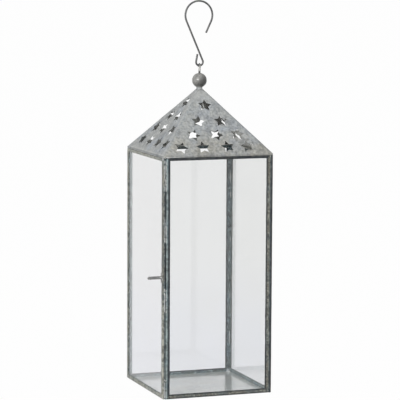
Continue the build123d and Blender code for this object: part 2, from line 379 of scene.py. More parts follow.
roof_inside = tin_finish(
    "roof inside", warm=(0.29, 0.287, 0.268), cool=(0.255, 0.264, 0.262), pale=(0.38, 0.38, 0.365),
    dark=(0.13, 0.13, 0.126), patch=0.016, grain=0.0020, grain_depth=0.6, metallic=0.25, bump=0.00020)
roof_tin = tin_finish(
    "roof tin", warm=(0.305, 0.305, 0.290), cool=(0.298, 0.313, 0.327), pale=(0.40, 0.41, 0.405),
    dark=(0.20, 0.206, 0.208), patch=0.030, grain=0.0024, grain_depth=1.8, metallic=0.30, bump=0.00028)
print("finishes", [material.name for material in bpy.data.materials][-9:])

# %% [markdown]
# Some finishes change from place to place as well: painted shade darkens the ball's underside and its
# right side, the eye carries a painted highlight and a painted shadow by the ball, hands have rubbed the
# strips, and painted highlights and shade lie on some strips and beside the roof's hips and eaves. These
# changes could be painted on a picture, but the height or the side of a point already says where most of
# them lie, so ramps on the coordinates give them without one. The strips need more than that, and keep
# their own numbers on their meshes.


# %% Paint shade on the ball's underside and its right side
def open_finish(material):
    tree = material.node_tree
    spots = next(node for node in tree.nodes if node.type == "GROUP")
    return tree, tree.nodes["Principled BSDF"].inputs, spots.outputs["Colour"], object_place(tree)


tree, shader, colour, place = open_finish(finial_tin)
split = split_xyz(tree, place)
ball_low, ball_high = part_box("finial_ball")
ball_foot = ball_low.z
painted_shade_grey = (0.045, 0.045, 0.043)
foot_solder = (0.40, 0.40, 0.38)
# Painted shade: darker towards the bottom, reaching higher on the right side, away from the key lamp.
shaded_side = calculate(tree, "MULTIPLY_ADD", split["X"], -0.9, split["Z"])
ragged = calculate(tree, "MULTIPLY_ADD", noise(tree, place, 0.005, 3.0, 0.6), 0.004, shaded_side)
painted_shade = ramp_value(tree, ragged, ball_foot + 0.0040, ball_foot + 0.0150, 0.94, 0.0)
shade_painted = mix_colours(tree, painted_shade, colour, painted_shade_grey)
at_foot = ramp_value(tree, split["Z"], ball_foot + 0.0006, ball_foot + 0.0024, 0.8, 0.0)
on_left = ramp_value(tree, split["X"], 0.0002, 0.0018, 1.0, 0.0)
soldered = mix_colours(tree, calculate(tree, "MULTIPLY", at_foot, on_left), shade_painted, foot_solder)
tree.links.new(soldered, shader["Base Color"])
print("ball soldered at", round(ball_foot * 1000, 1), "mm")

# %% Paint a highlight on the eye below the top of its loop, and a shadow where it meets the ball
tree, shader, colour, place = open_finish(painted_highlight_wire)
split = split_xyz(tree, place)
roof_low, roof_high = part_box("roof")
eye_low, eye_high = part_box("hanging_eye")
eye_top = eye_high.z
roof_top = roof_high.z
dull_grey = (0.17, 0.17, 0.165)
painted_shadow_grey = (0.05, 0.05, 0.048)
# A painted highlight below the top of the loop, and a painted shadow where the eye meets the ball.
under_hook = ramp_value(tree, split["Z"], eye_top - 0.0034, eye_top - 0.0022)
by_ball = band(tree, split["Z"], (roof_top - 0.003, roof_top + 0.001), (eye_top - 0.0086, eye_top - 0.0062))
dull = mix_colours(tree, under_hook, colour, dull_grey)
shadowed_by_ball = mix_colours(tree, by_ball, dull, painted_shadow_grey)
tree.links.new(shadowed_by_ball, shader["Base Color"])
print("eye wire bright below", round((eye_top - 0.0022) * 1000, 1), "mm")

# %% Fleck the strips, rub their folds bright, paint highlights and shade on some, and darken them with flux
tree, shader, colour, place = open_finish(came_tin)
rub_and_highlight, flux_and_shade, inner = (
    add_node(tree, "ShaderNodeAttribute", attribute_name=name).outputs["Fac"]
    for name in ("rub_and_highlight", "flux_and_shade", "inner")
)
pit_black = (0.03, 0.033, 0.035)
fleck_grey = (0.40, 0.415, 0.405)
rubbed_and_highlight_grey = (0.42, 0.43, 0.41)
outer_tint = (1.02, 1.0, 0.915)
inner_tint = (0.88, 1.03, 1.08)
flux_and_shade_black = (0.018, 0.022, 0.027)
worn = noise(tree, place, 0.004, 3.0, 0.6)
flecks = noise(tree, place, 0.0019, 2.0, 0.5)
pitted = mix_colours(tree, ramp_value(tree, flecks, 0.34, 0.44, 0.60, 0.0), colour, pit_black)
flecked = mix_colours(tree, ramp_value(tree, flecks, 0.56, 0.66, 0.0, 0.60), pitted, fleck_grey)
# The first number holds wear and painted highlights, the second flux and painted shade.
rub_and_highlight_share = calculate(tree, "MULTIPLY", rub_and_highlight, ramp_value(tree, worn, 0.40, 0.60, 0.15, 0.8))
flux_and_shade_mix = calculate(tree, "MULTIPLY", flux_and_shade, ramp_value(tree, worn, 0.30, 0.66, 1.0, 0.78))
paled_and_highlit = mix_colours(tree, rub_and_highlight_share, flecked, rubbed_and_highlight_grey)
side_tint = mix_colours(tree, inner, outer_tint, inner_tint)
tinted = mix_colours(tree, 1.0, paled_and_highlit, side_tint, "MULTIPLY")
flux_and_shade_mixed = mix_colours(tree, flux_and_shade_mix, tinted, flux_and_shade_black)
tree.links.new(flux_and_shade_mixed, shader["Base Color"])
print("came finish", len(tree.nodes), "nodes")

# %% Streak and tint the roof, paint a highlight and shade beside its hips, and pale its point
skirt_height = 0.0014
eave = roof_low.z + skirt_height
streak_dark = (0.84, 0.85, 0.865)
streak_pale = (1.16, 1.15, 1.12)
front_foot_tint = (0.94, 0.925, 0.885)
front_top_tint = (1.0, 1.03, 1.07)
left_tint = (0.96, 0.99, 1.03)
hip_shade_grey = (0.20, 0.222, 0.235)
highlight_and_solder_pale = (0.44, 0.445, 0.43)
tree, shader, colour, place = open_finish(roof_tin)
split = split_xyz(tree, place)
deep = calculate(tree, "ABSOLUTE", split["Y"])
beside_hip = calculate(tree, "SUBTRACT", calculate(tree, "ABSOLUTE", split["X"]), deep)
# A painted highlight beside each hip on the left and right slopes, painted shade beside it on the front and
# back.
hip_highlight = band(tree, beside_hip, (-0.0004, 0.0008), (0.0012, 0.0046), 0.38)
hip_shade = band(tree, beside_hip, (-0.0044, -0.0010), (-0.0008, 0.0002), 0.34)
point_solder = ramp_value(tree, split["Z"], roof_top - 0.0138, roof_top - 0.0018, 0.0, 0.55)
less_on_sides = ramp_value(tree, beside_hip, -0.0004, 0.0008, 1.0, 0.35)
paled_and_highlit = calculate(tree, "MAXIMUM", hip_highlight, calculate(tree, "MULTIPLY", point_solder, less_on_sides))
stretched = add_node(tree, "ShaderNodeMapping", Scale=(1.0, 1.0, 0.16))
tree.links.new(place, stretched.inputs["Vector"])
streaks = noise(tree, stretched.outputs[0], 0.0034, 3.0, 0.6)
streak_share = ramp_value(tree, streaks, 0.30, 0.70)
streak_light = mix_colours(tree, streak_share, streak_dark, streak_pale)
streaked = mix_colours(tree, 1.0, colour, streak_light, "MULTIPLY")
higher = ramp_value(tree, split["Z"], eave + 0.0052, eave + 0.0252)
front_tint = mix_colours(tree, higher, front_foot_tint, front_top_tint)
left_of_hips = calculate(tree, "SUBTRACT", calculate(tree, "MULTIPLY", split["X"], -1.0), deep)
on_left = ramp_value(tree, left_of_hips, -0.0005, 0.0005)
slope_tint = mix_colours(tree, on_left, front_tint, left_tint)
tinted = mix_colours(tree, 1.0, streaked, slope_tint, "MULTIPLY")
shaded = mix_colours(tree, hip_shade, tinted, hip_shade_grey)
paler = mix_colours(tree, paled_and_highlit, shaded, highlight_and_solder_pale)
print("roof streaked and tinted,", len(tree.nodes), "nodes")

# %% Paint a highlight along the fold and shade on the skirt below it, along the side eaves
eave_highlight_pale = (0.52, 0.52, 0.49)
skirt_shade_dark = (0.08, 0.082, 0.078)
on_sides = ramp_value(tree, beside_hip, -0.0006, 0.0006)
broken = calculate(tree, "MULTIPLY", ramp_value(tree, streaks, 0.36, 0.60, 0.35, 1.0), on_sides)
# A painted highlight just above the eave, and painted shade on the skirt just below it.
eave_highlight = band(tree, split["Z"], (eave + 0.0002, eave + 0.0008), (eave + 0.0012, eave + 0.0020), 0.40)
skirt_shade = band(tree, split["Z"], (eave - 0.0007, eave - 0.0004), (eave, eave + 0.0005), 0.62)
lined = mix_colours(tree, calculate(tree, "MULTIPLY", eave_highlight, broken), paler, eave_highlight_pale)
folded = mix_colours(tree, calculate(tree, "MULTIPLY", skirt_shade, broken), lined, skirt_shade_dark)
tree.links.new(folded, shader["Base Color"])
print("roof finish", len(tree.nodes), "nodes")

# %% Darken the roof's inside to the right, but leave its right slope clean, and paint a glint on its hem
tree, shader, colour, place = open_finish(roof_inside)
split = split_xyz(tree, place)
hem_top = roof_low.z + 0.0006
soot_grey = (0.12, 0.119, 0.112)
clean_tin = (0.48, 0.48, 0.455)
hem_glint_pale = (0.80, 0.80, 0.77)
right_of_hips = calculate(tree, "SUBTRACT", split["X"], calculate(tree, "ABSOLUTE", split["Y"]))
sooty = mix_colours(tree, ramp_value(tree, split["X"], 0.009, 0.018, 0.0, 0.75), colour, soot_grey)
clean_side = ramp_value(tree, right_of_hips, 0.0, 0.006, 0.0, 0.92)
cleaner = mix_colours(tree, clean_side, sooty, clean_tin)
# A painted glint along the top of the hem.
hem_glint = ramp_value(tree, split["Z"], hem_top, hem_top + 0.0003, 0.85, 0.0)
hem_glinted = mix_colours(tree, hem_glint, cleaner, hem_glint_pale)
tree.links.new(hem_glinted, shader["Base Color"])
tree.links.new(ramp_value(tree, right_of_hips, 0.0, 0.006, 0.25, 0.92), shader["Metallic"])
print("hem bright below", round(hem_top * 1000, 1), "mm")

# %% [markdown]
# ## Glass
# The panes are plain window glass about 1.6 mm thick. Seen against white they take about a tenth off the
# light, a little bluer lower down, and the door and the right pane a little more than the others. Real
# glass lets lamp light through, but a path tracer makes noisy work of that, so Light Path lets lamp rays
# pass straight, and the inside is lit as it is behind real glass. A faint film changes the roughness so
# that the panes are not perfect mirrors.

# %% Tint the glass
pane_glass = bpy.data.materials.new("pane glass")
pane_glass.use_nodes = True
tree = pane_glass.node_tree
shader = tree.nodes["Principled BSDF"].inputs
shader["Transmission Weight"].default_value = 1.0
shader["IOR"].default_value = 1.45
inner_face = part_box("right_came_front")[0].x
blend_width = 0.0004
low_tint = (0.872, 0.880, 0.902)
high_tint = (0.893, 0.897, 0.896)
film_tint = (0.875, 0.88, 0.88)
door_tint = (0.968, 0.963, 0.968)
right_tint = (0.984, 0.984, 0.978)
place = object_place(tree)
split = split_xyz(tree, place)
film = noise(tree, place, 0.045, 3.0, 0.5)
upper = ramp_value(tree, split["Z"], 0.03, 0.14)
clear = mix_colours(tree, upper, low_tint, high_tint)
filmed = mix_colours(tree, ramp_value(tree, film, 0.40, 0.75, 0.0, 0.5), clear, film_tint)
on_door = ramp_value(tree, split["X"], -inner_face, blend_width - inner_face, 1.0, 0.0)
on_right = ramp_value(tree, split["X"], inner_face - blend_width, inner_face)
with_door = mix_colours(tree, on_door, filmed, door_tint, "MULTIPLY")
with_right = mix_colours(tree, on_right, with_door, right_tint, "MULTIPLY")
tree.links.new(with_right, shader["Base Color"])
tree.links.new(ramp_value(tree, film, 0.35, 0.75, 0.0, 0.035), shader["Roughness"])
print("glass tint", len(tree.nodes), "nodes")


# %% Let lamp rays pass the glass
def mix_shaders(tree, share, first, second):
    node = tree.nodes.new("ShaderNodeMixShader")
    for socket, value in zip(node.inputs, (share, first.outputs[0], second.outputs[0])):
        tree.links.new(value, socket)
    tree.links.new(node.outputs[0], tree.nodes["Material Output"].inputs["Surface"])


rays = tree.nodes.new("ShaderNodeLightPath").outputs
passing = calculate(tree, "MAXIMUM", rays["Is Shadow Ray"], rays["Is Diffuse Ray"])
open_way = add_node(tree, "ShaderNodeBsdfTransparent", Color=(0.93, 0.94, 0.94, 1.0))
mix_shaders(tree, passing, tree.nodes["Principled BSDF"], open_way)
print("glass", len(tree.nodes), "nodes")

# %% [markdown]
# ## Which CAD pieces stay
# The glass, the floor sheet and the hinges have the right shape already, so they stay as CAD nodes and
# only take a finish.

# %% Dress the CAD pieces that stay
for name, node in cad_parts.items():
    if name.endswith("_glass"):
        finish = pane_glass
    elif name == "base_plate":
        finish = floor_tin
    elif name.endswith("_pin"):
        finish = wire_tin
    else:
        finish = came_tin
    node.material_slots[0].material = finish
print("dressed", len(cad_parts), "CAD nodes")

# %% [markdown]
# ## Roof
# The roof is one sheet: a short upright skirt, four slopes folded up to a small flat, and a hem turned in
# under the eave. Four flat triangles would leave knife-sharp hips, so a block is cut at the eave and its
# top drawn in to a pyramid instead, the folds are bevelled soft, and the open bottom edge is extruded
# inwards for the hem. Cuts across both ways give enough faces for the sheet to dish a little round each
# punched star and to wave as thin tin does. Solidify then gives the wall, and star-shaped punches cut it.

# %% Fold the roof sheet
roof_half = roof_high.x
flat_half = 0.0036
hem_half = 0.0524
hip_softness = 0.0022


def draw_in(share, height):
    bpy.ops.transform.resize(value=(share, share, 1), center_override=(0, 0, height))


roof = block("roof_sheet", roof_low, roof_high)
choose(roof, "FACE", lambda centre, normal: True)
bpy.ops.mesh.bisect(plane_co=(0, 0, eave), plane_no=(0, 0, 1))
choose(roof, "VERT", lambda co: co.z > roof_top - 1e-5)
draw_in(flat_half / roof_half, roof_top)
choose(roof, "EDGE", lambda a, b: abs(a.z - b.z) > 1e-4 and a.x * b.x > 0 and a.y * b.y > 0)
bpy.ops.mesh.bevel(offset=hip_softness, segments=5, profile=0.5, affect="EDGES")
choose(roof, "FACE", lambda centre, normal: normal.z < -0.9)
bpy.ops.mesh.delete(type="FACE")
choose(roof, "EDGE", lambda a, b: max(a.z, b.z) < roof_low.z + 1e-5)
bpy.ops.mesh.extrude_region_move()
draw_in(hem_half / roof_half, roof_low.z)
bpy.ops.object.mode_set(mode="OBJECT")
print("roof folded,", len(roof.data.polygons), "faces")

# %% Cut the sheet into small faces
face_size = 0.0036
cuts_each_way = 15
for axis in ((1, 0, 0), (0, 1, 0)):
    for number in range(-cuts_each_way, cuts_each_way + 1):
        choose(roof, "FACE", lambda centre, normal: True)
        bpy.ops.mesh.bisect(plane_co=Vector(axis) * face_size * number, plane_no=axis)
bpy.ops.object.mode_set(mode="OBJECT")
print("roof cut to", len(roof.data.polygons), "faces")

# %% [markdown]
# Each side has rows of one, two, three and four stars, cut by hand: no two rows are spaced alike and
# every star sits at its own turn. A star is given by its height up the slope and its place along the half
# row there, both as shares, and its turn in degrees.

# %% Set out the stars
stars_on = {
    (0, -1): (
        (0.76, -0.006, -7),
        (0.515, -0.389, -12), (0.515, 0.408, -2),
        (0.308, -0.494, -24), (0.308, 0.088, -25), (0.308, 0.620, -13),
        (0.124, -0.712, -23), (0.124, -0.268, 3), (0.124, 0.234, 7), (0.123, 0.638, 5),
    ),
    (1, 0): (
        (0.781, -0.024, 40),
        (0.551, -0.401, 15), (0.532, 0.508, 34),
        (0.374, -0.523, 5), (0.365, 0.03, 0), (0.393, 0.658, 2),
        (0.159, -0.63, 60), (0.139, -0.186, 0), (0.179, 0.309, 0), (0.159, 0.762, 15),
    ),
    (0, 1): (
        (0.806, 0.22, -18),
        (0.577, -0.387, 4), (0.571, 0.559, -12),
        (0.391, -0.428, -18), (0.365, 0.066, 8), (0.364, 0.612, 0),
        (0.168, -0.68, 38), (0.172, -0.201, -18), (0.172, 0.284, -17), (0.163, 0.701, 0),
    ),
    (-1, 0): (
        (0.796, 0.09, 30),
        (0.576, -0.39, 50), (0.578, 0.39, 20),
        (0.371, -0.594, 20), (0.374, -0.02, 58), (0.377, 0.66, 40),
        (0.162, -0.645, 8), (0.165, -0.19, 33), (0.168, 0.314, 62), (0.17, 0.775, 25),
    ),
}
slope_run = roof_half - flat_half
slope_rise = roof_top - eave
slope_length = math.hypot(slope_run, slope_rise)
star_places = []
for side, stars in stars_on.items():
    outward = Vector((*side, 0))
    normal = outward * (slope_rise / slope_length) + Vector((0, 0, slope_run / slope_length))
    along = Vector((0, 0, 1)).cross(outward)
    climb = normal.cross(along)
    lie = Matrix((along, climb, normal)).transposed().to_4x4()
    for share_up, share_across, degrees in stars:
        half_row = roof_half + share_up * (flat_half - roof_half)
        middle = outward * roof_half + Vector((0, 0, eave)) + climb * (share_up * slope_length)
        middle += along * (share_across * half_row)
        star_turn = Matrix.Rotation(math.radians(degrees), 4, "Z")
        star_places.append(Matrix.Translation(middle) @ lie @ star_turn)
print("stars set out:", len(star_places))

# %% Dish the sheet round the stars and wave it
star_middles = [star_place.translation for star_place in star_places]
dish_reach = 0.0115
dish_depth = 0.00020
wave_depth = 0.0005
stiff_height = 0.006
sheet_wall = 0.0003


def dish_share(co):
    nearest = min((co - middle).length for middle in star_middles)
    return 0.5 + 0.5 * math.cos(math.pi * min(nearest / dish_reach, 1.0))


weigh(roof, "dish", dish_share)
apply_modifier(roof, "DISPLACE", strength=-dish_depth, mid_level=0.0, vertex_group="dish")
weigh(roof, "sheet", lambda co: (co.z - eave) / stiff_height)
roof_waves = dents("roof waves", 0.024)
apply_modifier(roof, "DISPLACE", strength=wave_depth, mid_level=0.5, texture=roof_waves, vertex_group="sheet")
roof.data.materials.append(roof_tin)
roof.data.materials.append(roof_inside)
apply_modifier(roof, "SOLIDIFY", thickness=sheet_wall, offset=-1.0, material_offset=1, material_offset_rim=0)
print("roof sheet", len(roof.data.polygons), "faces with its inside")

# %% Punch the stars
star_point = 0.0070
star_notch = 0.0037
punch_half = 0.003
punch = start_with(
    bpy.ops.mesh.primitive_circle_add, "star_punch", vertices=10, radius=star_point, fill_type="NGON")
choose(punch, "VERT", lambda co: math.cos(5 * math.atan2(co.x, co.y)) < 0)
bpy.ops.transform.resize(value=(star_notch / star_point,) * 3, center_override=(0, 0, 0))
choose(punch, "FACE", lambda centre, normal: True)
bpy.ops.transform.translate(value=(0, 0, -punch_half))
bpy.ops.mesh.extrude_region_move(TRANSFORM_OT_translate={"value": (0, 0, 2 * punch_half)})
bpy.ops.mesh.select_all(action="SELECT")
bpy.ops.mesh.normals_make_consistent(inside=False)
bpy.ops.object.mode_set(mode="OBJECT")
punches = []
for star_place in star_places:
    copy = punch.copy()
    copy.data = punch.data.copy()
    copy.matrix_world = star_place
    bpy.context.scene.collection.objects.link(copy)
    punches.append(copy)
cut_out(roof, join(punches))
bpy.data.objects.remove(punch)
print("roof punched,", len(roof.data.polygons), "faces")

# %% Bore the point and finish the roof
bore_radius = 0.00155
bore = start_with(
    bpy.ops.mesh.primitive_cylinder_add, "roof_bore", vertices=24, radius=bore_radius, depth=0.006,
    location=(0, 0, roof_top))
cut_out(roof, bore)
smooth(roof, 32)
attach(roof, "lantern")
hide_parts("roof")
print("roof done,", len(roof.data.polygons), "faces")

# %% [markdown]
# ## Came strips
# Each pane sits in four strips of tin, folded to a U round the edge of the glass, mitred at the corners
# and soldered. Three plates could be joined for each, but a block of the strip's size with its inner side
# and both ends taken off already is such a fold: a back and two flanges. The flange ends are pulled in
# for the mitres and the folds bevelled. Cuts along and across give faces enough for the slight crown of a
# flange, its wavy free edge and the dents of hand work, and Solidify turns the sheet into tin. Three
# numbers stay on each mesh for the finish: how far a point is rubbed bright or given a painted highlight,
# how far it is darkened by flux or by painted shade, and whether it has the bluer tin of the inner
# flanges, which the front upright beside the door has all over.
#
# Flux and painted shade darken some strips more than others. The one under the front eave is painted
# nearly black all over, as painted shade under the eave. The front upright beside the door has painted
# shade along its inner half by the glass and a painted highlight along its outer fold, and the right
# pane's front edge has painted shade along its back. Both sides of the gap at the door carry painted
# shade where no solder covers it, and near the foot that painted line moves a little onto the door's
# edge, which is dulled by hands higher up. The front bottom strip is dark along its lower fold, and most
# have a dark line where they meet the glass. The two uprights at the hinges, the door's bottom and the
# right pane's back and bottom are rubbed paler than the rest, and the door's top is painted pale all over
# as painted light, against the eave's shadow.

# %% Name the strips of each pane
pane_edges = {
    "front": ("bottom", "right", "top", "left"),
    "right": ("bottom", "back", "top", "front"),
    "back": ("bottom", "left", "top", "right"),
    "door": ("bottom", "front", "top", "back"),
}
level_edges = ("bottom", "top")
print("strips to fold:", sum(len(edges) for edges in pane_edges.values()))


# %% Say how a strip lies
class StripLie:
    def __init__(self, pane, edge):
        level = edge in level_edges
        self.node = f"{pane}_came_{edge}"
        self.low, self.high = low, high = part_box(self.node)
        self.through = through = 1 if pane in ("front", "back") else 0
        self.length = length = 1 - through if level else 2
        self.face = face = 3 - through - length
        glass_low, glass_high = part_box(f"{pane}_glass")
        self.inward = 1 if (glass_low + glass_high)[face] > (low + high)[face] else -1
        self.outer = low[face] if self.inward > 0 else high[face]
        self.width = high[face] - low[face]
        self.span = high[length] - low[length]
        self.depth = high[through] - low[through]
        crossing = [other for other in pane_edges[pane] if (other in level_edges) != level]
        ends = [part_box(f"{pane}_came_{other}") for other in crossing]
        ends.sort(key=lambda end: end[0][length])
        first_cut, last_cut = (end[1][length] - end[0][length] for end in ends)
        self.mitres = ((low[length], first_cut), (high[length], -last_cut))

    def share_in(self, co):
        return (co[self.face] - self.outer) * self.inward / self.width

    def runs_along(self, a, b):
        return abs(a[self.length] - b[self.length]) > self.span / 2

    def inside(self, co, axis):
        return min(co[axis] - self.low[axis], self.high[axis] - co[axis])

    def from_end(self, co):
        return self.inside(co, self.length)

    def by_fold(self, co):
        from_fold = math.hypot(self.share_in(co) * self.width, self.inside(co, self.through))
        return 1 - ease(from_fold, 0.0002, 0.0009)

    def is_inner(self, co):
        middle = (self.low[self.through] + self.high[self.through]) / 2
        return float(self.node == "front_came_left" or abs(co[self.through]) < abs(middle))


print("the front pane's top strip is", round(StripLie("front", "top").span * 1000, 1), "mm long")

# %% Say where the strips are dark with flux or with painted shade
edge_runs = ((0.200, 0.2265), (0.1505, 0.1715), (0.085, 0.105), (0.004, 0.019))
foot_limits = (0.082, 0.090)
handled_from = (0.085, 0.100)
handled_to = (0.195, 0.205)
door_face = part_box("door_came_front")[0].x
door_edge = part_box("door_came_front")[1].x
# door_came_top is painted pale as painted light, against the eave's shadow; the others are rubbed pale.
pale_strips = {
    "door_came_back": 0.75, "back_came_left": 0.75, "door_came_top": 0.85, "door_came_bottom": 0.75,
    "right_came_back": 0.35, "right_came_bottom": 0.42,
}


# Painted shade in the gap at the door, lighter where runs of solder cover it.
def gap_shade(height):
    ends = [((low - 0.002, low + 0.001), (high - 0.001, high + 0.002)) for low, high in edge_runs]
    return 1 - 0.7 * max(between(height, *run_ends) for run_ends in ends)


def flux_and_shade_of_strip(node, share_in, co):
    by_foot = 1 - ease(co.z, *foot_limits)
    by_glass = ease(share_in, 0.65, 0.95)
    # Painted shade under the front eave: the whole strip dark.
    if node == "front_came_top":
        return 1.0
    # Painted shade on the inner half, and painted shade in the gap.
    if node == "front_came_left":
        shade_at_gap = gap_shade(co.z) * (1 - 0.9 * by_foot) * (1 - ease(share_in, 0.04, 0.14))
        return max(ease(share_in, 0.36, 0.58), shade_at_gap)
    # Painted shade along the back of the right pane's front edge.
    if node == "right_came_front":
        return 0.92 - 0.8 * ease(share_in, 0.05, 0.30)
    if node in pale_strips:
        return 0.0
    if node == "front_came_bottom":
        return max(by_glass, 1 - ease(share_in, 0.18, 0.48))
    # Painted shade in the gap, and near the foot a painted shade line on the door's edge.
    if node == "door_came_front":
        from_edge = co.x - door_edge
        shade_at_gap = gap_shade(co.z) * ease(from_edge, -0.0012, -0.0005) * (1 - by_foot)
        foot_gap_shade = by_foot * between(from_edge, (-0.0017, -0.0013), (-0.0008, -0.0004))
        return max(0.5 * by_glass, shade_at_gap, foot_gap_shade, 0.35 * between(co.z, handled_from, handled_to))
    return by_glass


print("dark between", len(edge_runs), "runs of solder,", len(pale_strips), "strips pale")


# %% Say where they are rubbed, and where a highlight is painted
def rub_and_highlight_of_strip(node, share_in, by_fold, co):
    if node in pale_strips:
        return pale_strips[node]
    # A painted highlight along the front upright's outer fold.
    if node == "front_came_left":
        return 0.85 * between(share_in, (0.02, 0.12), (0.30, 0.50))
    if node == "door_came_front":
        at_foot = (1 - ease(co.z, 0.070, 0.105)) * ease(co.x - door_face, -0.0004, -0.0001)
        return max(0.35 * by_fold, at_foot)
    if node == "front_came_bottom":
        return 0.35 * by_fold
    return by_fold


def keep_share(piece, name, share):
    layer = piece.data.attributes.new(name, "FLOAT", "POINT")
    for vertex in piece.data.vertices:
        layer.data[vertex.index].value = within_one(share(vertex.co))


print("rubbed most:", max(pale_strips, key=pale_strips.get))

# %% Fold a strip's blank
fold_radius = 0.0005
cut_spacing = 0.0035


def fold_blank(lie):
    def is_open(centre, normal):
        return abs(normal[lie.length]) > 0.9 or normal[lie.face] * lie.inward > 0.9

    strip = block(lie.node + "_strip", lie.low, lie.high)
    choose(strip, "FACE", is_open)
    bpy.ops.mesh.delete(type="FACE")
    for end, pull in lie.mitres:
        shift = Vector((0, 0, 0))
        shift[lie.length] = pull
        choose(strip, "VERT", lambda co: abs(co[lie.length] - end) < 1e-6 and lie.share_in(co) > 0.5)
        bpy.ops.transform.translate(value=shift)
    choose(strip, "EDGE", lambda a, b: max(lie.share_in(a), lie.share_in(b)) < 0.1 and lie.runs_along(a, b))
    bpy.ops.mesh.bevel(offset=fold_radius, segments=3, profile=0.5, affect="EDGES")
    choose(strip, "EDGE", lie.runs_along)
    bpy.ops.mesh.subdivide(number_cuts=round(lie.span / cut_spacing))
    choose(strip, "EDGE", lambda a, b: abs(lie.share_in(a) - lie.share_in(b)) > 0.5)
    bpy.ops.mesh.subdivide(number_cuts=4)
    choose(strip, "EDGE", lambda a, b: abs(a[lie.through] - b[lie.through]) > lie.depth / 2)
    bpy.ops.mesh.subdivide(number_cuts=4)
    bpy.ops.object.mode_set(mode="OBJECT")
    return strip


print("folds have a radius of", fold_radius * 1000, "mm")

# %% Crown it, dent it and give it the tin's thickness
came_dents = dents("came dents", 0.008)
came_wave = dents("came wave", 0.012)
came_wall = 0.0004
crown_height = 0.00022
dent_depth = 0.00030


def dent_strip(strip, lie):
    def free_edge(co):
        return ease(lie.share_in(co), 0.6, 0.95) * ease(lie.from_end(co), 0.005, 0.012)

    weigh(strip, "crown", lambda co: 4 * lie.share_in(co) * (1 - lie.share_in(co)))
    weigh(strip, "sheet", lambda co: 0.3 + 0.7 * ease(lie.share_in(co), 0.0, 0.2))
    weigh(strip, "free edge", free_edge)
    apply_modifier(strip, "DISPLACE", strength=crown_height, mid_level=0.0, vertex_group="crown")
    apply_modifier(
        strip, "DISPLACE", strength=dent_depth, mid_level=0.40, texture=came_dents, vertex_group="sheet")
    apply_modifier(
        strip, "DISPLACE", strength=dent_depth, mid_level=0.5, texture=came_wave,
        direction="XYZ"[lie.face], vertex_group="free edge")
    apply_modifier(strip, "SOLIDIFY", thickness=came_wall, offset=-1.0, use_even_offset=True)
    smooth(strip, 40)


print("came strips are", came_wall * 1000, "mm tin")


# %% Fold all sixteen strips
def fold_came(pane, edge):
    lie = StripLie(pane, edge)
    node = lie.node
    strip = fold_blank(lie)
    dent_strip(strip, lie)
    keep_share(strip, "rub_and_highlight", lambda co: rub_and_highlight_of_strip(node, lie.share_in(co), lie.by_fold(co), co))
    keep_share(strip, "flux_and_shade", lambda co: flux_and_shade_of_strip(node, lie.share_in(co), co))
    keep_share(strip, "inner", lie.is_inner)
    strip.data.materials.append(came_tin)
    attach(strip, "door" if pane == "door" else "lantern")
    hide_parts(node)
    return strip


strips = [fold_came(pane, edge) for pane, edges in pane_edges.items() for edge in edges]
print("strips", len(strips), "with", sum(len(s.data.polygons) for s in strips), "faces")

# %% [markdown]
# ## Wire
# The hook, the eye and the door pull are bent from round wire. A curve with a round bevel could give them
# too, but here a disc of the wire's size is pushed along straight runs by extruding it and round the
# bends by spinning it, like wire through a bending jig, so that one short list of runs and turns gives
# the whole shape. A turn is positive to the left, seen with the first direction to the right and the
# second up.


# %% Bend a wire
run_step = 0.003
degrees_a_step = 8


def bend_wire(name, place, heading, first, second, radius, moves):
    place = Vector(place)
    first = Vector(first)
    second = Vector(second)
    angle = math.radians(heading)

    def direction(turned):
        return first * math.cos(turned) + second * math.sin(turned)

    wire = start_with(
        bpy.ops.mesh.primitive_circle_add, name, vertices=16, radius=radius, location=place,
        rotation=direction(angle).to_track_quat("Z", "Y").to_euler(), fill_type="NGON")
    choose(wire, "FACE", lambda centre, normal: True)
    for run, bend_radius, turned in moves:
        pieces = max(1, round(run / run_step))
        piece_run = direction(angle) * (run / pieces)
        for _ in range(pieces if run else 0):
            bpy.ops.mesh.extrude_region_move(TRANSFORM_OT_translate={"value": piece_run})
        place = place + direction(angle) * run
        if turned:
            side = math.copysign(bend_radius, turned)
            centre = place + direction(angle + math.pi / 2) * side
            swing = math.radians(turned)
            steps = max(3, round(abs(turned) / degrees_a_step))
            bpy.ops.mesh.spin(steps=steps, angle=-swing, center=centre, axis=first.cross(second))
            angle += swing
            place = centre - direction(angle + math.pi / 2) * side
    bpy.ops.object.mode_set(mode="OBJECT")
    tidy_mesh(wire, 50)
    return wire, place


print("wire jig pushes", run_step * 1000, "mm at a time")

# %% Round a wire's ends and roughen it
wire_dents = dents("wire dents", 0.005)
end_round = 0.0002
wire_roughness = 0.00012


def finish_wire(wire, ends, body, node, finish):
    for end in ends:
        choose(wire, "FACE", lambda centre, normal: (centre - Vector(end)).length < 0.0001)
        bpy.ops.mesh.bevel(offset=end_round, segments=2, affect="EDGES")
    bpy.ops.object.mode_set(mode="OBJECT")
    apply_modifier(wire, "DISPLACE", strength=wire_roughness, mid_level=0.5, texture=wire_dents)
    tidy_mesh(wire, 50)
    wire.data.materials.append(finish)
    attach(wire, body)
    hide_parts(node)
    print(wire.name, "ends at", [[round(v * 1000, 1) for v in end] for end in ends], "mm")


print("wire ends are rounded by", end_round * 1000, "mm")

